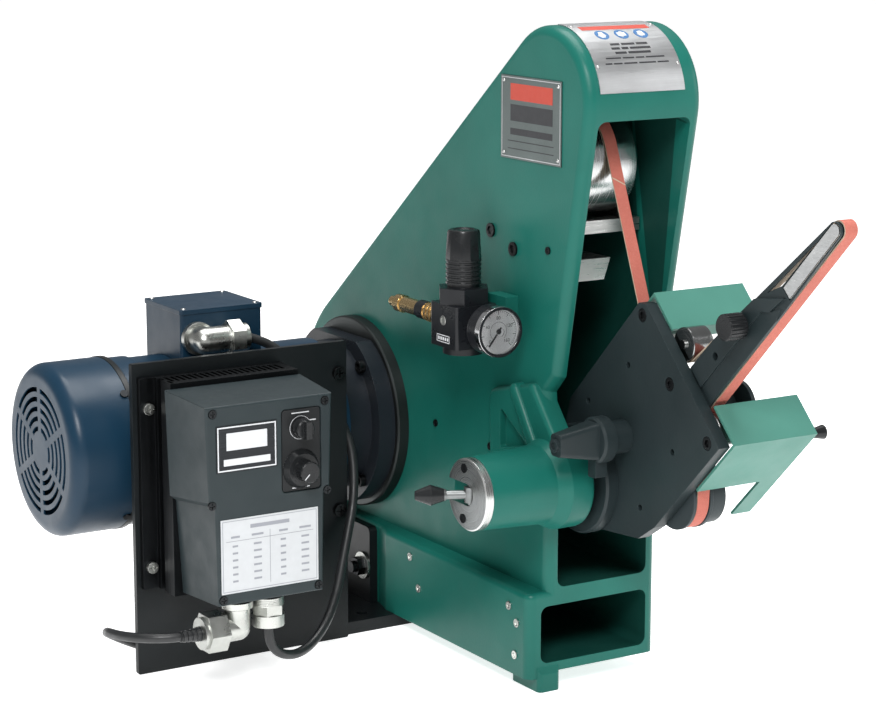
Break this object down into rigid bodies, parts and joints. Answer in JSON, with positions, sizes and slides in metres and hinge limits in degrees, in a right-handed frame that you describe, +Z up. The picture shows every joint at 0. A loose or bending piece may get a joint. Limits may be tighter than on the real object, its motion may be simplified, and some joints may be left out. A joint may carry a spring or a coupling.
{
  "type": "bench belt grinding machine",
  "caption": "Bench belt machine: a motor drives a narrow abrasive belt through an open-fronted casting and out round a contact arm on a swivelling head.",
  "frame": {"origin": "on the bench under the motor shaft, in the plane of the belt, at the centre of the four bench bolt holes", "axes": "+Z up; -Y forward towards the contact arm; -X along the motor shaft towards the fan cowl"},
  "size_m": [0.551, 0.8069, 0.6134],
  "materials": {
    "casting_green": "satin paint",
    "guard_green": "satin paint",
    "black_steel": "fine black finish",
    "screw_black": "black oxide",
    "bright_steel": "machined",
    "pulley_alloy": "turned",
    "motor_blue": "gloss paint",
    "bell_black": "satin paint",
    "winding_copper": "enamelled wire",
    "sink_black": "black anodised",
    "cover_black": "fine texture",
    "board_green": "solder mask",
    "label_silver": "brushed plate",
    "knob_black": "moulded",
    "zinc": "die-cast zinc",
    "cord_black": "moulded rubber",
    "regulator_black": "black",
    "gauge_chrome": "polished bezel",
    "needle_red": "needle",
    "brass_fitting": "turned brass",
    "abrasive": "abrasive grain"
  },
  "bodies": {
    "frame": {"abrasive_belt": "abrasive", "adapter_disc": "pulley_alloy", "air_cylinder": "bright_steel", "air_inlet_fitting": "brass_fitting", "base_plate": "black_steel", "bonnet_nut": "regulator_black", "boss_end_cap": "bright_steel", "casting_screws": "screw_black", "circuit_board": "board_green", "conduit_elbow": "zinc", "control_panel": "cover_black", "controller_cover": "cover_black", "cord_coil": "cord_black", "cord_tie": "cord_black", "cover_screws": "screw_black", "fan_cowl": "motor_blue", "frame_casting": "casting_green", "gauge_case": "gauge_chrome", "heat_sink": "sink_black", "label_plates": "label_silver", "machine_bolts": "screw_black", "motor_cable": "cord_black", "motor_front_bell": "bell_black", "motor_shell": "motor_blue", "motor_stator": "winding_copper", "output_gland": "zinc", "plug": "cord_black", "power_cord": "cord_black", "power_elbow": "zinc", "regulator_body": "regulator_black", "regulator_bracket": "casting_green", "side_bracket": "black_steel", "support_plate": "black_steel", "terminal_box": "motor_blue", "terminal_box_lid": "motor_blue"},
    "motor_rotor": {"rotor_shaft": "bright_steel", "drive_wheel": "pulley_alloy", "cooling_fan": "cover_black"},
    "tensioner": {"tension_carrier": "bright_steel"},
    "top_pulley": {"top_pulley": "pulley_alloy"},
    "head": {"swivel_hub": "black_steel", "head_plate": "black_steel", "head_pins": "screw_black", "contact_arm": "black_steel", "platen_bar": "pulley_alloy", "upper_guard": "guard_green", "lower_guard": "guard_green", "swivel_clamp": "black_steel"},
    "guide_roller": {"guide_roller": "bright_steel"},
    "steel_roller": {"steel_roller": "bright_steel"},
    "lower_roller": {"lower_roller": "bright_steel"},
    "lower_idler": {"lower_idler": "cover_black"},
    "tip_wheel": {"tip_wheel": "cover_black"},
    "arm_knob": {"arm_knob": "knob_black"},
    "guard_knob": {"guard_knob": "knob_black"},
    "lock_lever": {"lock_lever": "knob_black"},
    "power_knob": {"power_knob": "knob_black"},
    "speed_knob": {"speed_knob": "knob_black"},
    "regulator_knob": {"regulator_knob": "knob_black"},
    "gauge_needle": {"gauge_needle": "needle_red"}
  },
  "joints": [
    {"name": "motor_spin", "type": "hinge", "parent": "frame", "child": "motor_rotor", "pos_m": [0, 0, 0.2015], "axis": [1, 0, 0], "continuous": true},
    {"name": "tension_slide", "type": "slide", "parent": "frame", "child": "tensioner", "axis": [0, 0, 1], "range_m": [-0.008, 0.008], "deforming": ["abrasive_belt"]},
    {"name": "top_pulley_spin", "type": "hinge", "parent": "tensioner", "child": "top_pulley", "pos_m": [0, -0.304, 0.4865], "axis": [1, 0, 0], "continuous": true},
    {"name": "head_swivel", "type": "hinge", "parent": "frame", "child": "head", "pos_m": [0, -0.351, 0.2005], "axis": [1, 0, 0], "range_deg": [-10, 25], "deforming": ["abrasive_belt"]},
    {"name": "guide_roller_spin", "type": "hinge", "parent": "head", "child": "guide_roller", "pos_m": [0, -0.432, 0.342], "axis": [1, 0, 0], "continuous": true},
    {"name": "steel_roller_spin", "type": "hinge", "parent": "head", "child": "steel_roller", "pos_m": [0, -0.47708, 0.34384], "axis": [1, 0, 0], "continuous": true},
    {"name": "lower_roller_spin", "type": "hinge", "parent": "head", "child": "lower_roller", "pos_m": [0, -0.51633, 0.2749], "axis": [1, 0, 0], "continuous": true},
    {"name": "lower_idler_spin", "type": "hinge", "parent": "head", "child": "lower_idler", "pos_m": [0, -0.468, 0.2065], "axis": [1, 0, 0], "continuous": true},
    {"name": "tip_wheel_spin", "type": "hinge", "parent": "head", "child": "tip_wheel", "pos_m": [0, -0.6726, 0.46794], "axis": [1, 0, 0], "continuous": true},
    {"name": "arm_knob_turn", "type": "hinge", "parent": "head", "child": "arm_knob", "pos_m": [-0.025, -0.56356, 0.37474], "axis": [1, 0, 0], "continuous": true},
    {"name": "guard_knob_turn", "type": "hinge", "parent": "head", "child": "guard_knob", "pos_m": [0.084, -0.54518, 0.26726], "axis": [1, 0, 0], "continuous": true},
    {"name": "lock_lever_swing", "type": "hinge", "parent": "frame", "child": "lock_lever", "pos_m": [-0.148, -0.351, 0.2005], "axis": [0, 0, 1], "range_deg": [-30, 18]},
    {"name": "power_knob_turn", "type": "hinge", "parent": "frame", "child": "power_knob", "pos_m": [-0.25, -0.23, 0.2485], "axis": [0, -1, 0], "range_deg": [0, 60]},
    {"name": "speed_knob_turn", "type": "hinge", "parent": "frame", "child": "speed_knob", "pos_m": [-0.25, -0.235, 0.21], "axis": [0, 1, 0], "range_deg": [0, 300]},
    {"name": "regulator_knob_turn", "type": "hinge", "parent": "frame", "child": "regulator_knob", "pos_m": [-0.098, -0.258, 0.4], "axis": [0, 0, 1], "range_deg": [-360, 1080]},
    {"name": "gauge_needle_turn", "type": "hinge", "parent": "frame", "child": "gauge_needle", "pos_m": [-0.098, -0.318, 0.338], "axis": [0, 1, 0], "range_deg": [-54, 162]}
  ],
  "couplings": [
    {"joint": "top_pulley_spin", "follows": "motor_spin", "ratio": 1.2218},
    {"joint": "guide_roller_spin", "follows": "motor_spin", "ratio": -4.0132},
    {"joint": "steel_roller_spin", "follows": "motor_spin", "ratio": -3.8846},
    {"joint": "lower_roller_spin", "follows": "motor_spin", "ratio": -4.0132},
    {"joint": "lower_idler_spin", "follows": "motor_spin", "ratio": 2.1189},
    {"joint": "tip_wheel_spin", "follows": "motor_spin", "ratio": 8.1892},
    {"joint": "gauge_needle_turn", "follows": "regulator_knob_turn", "ratio": 0.15}
  ]
}
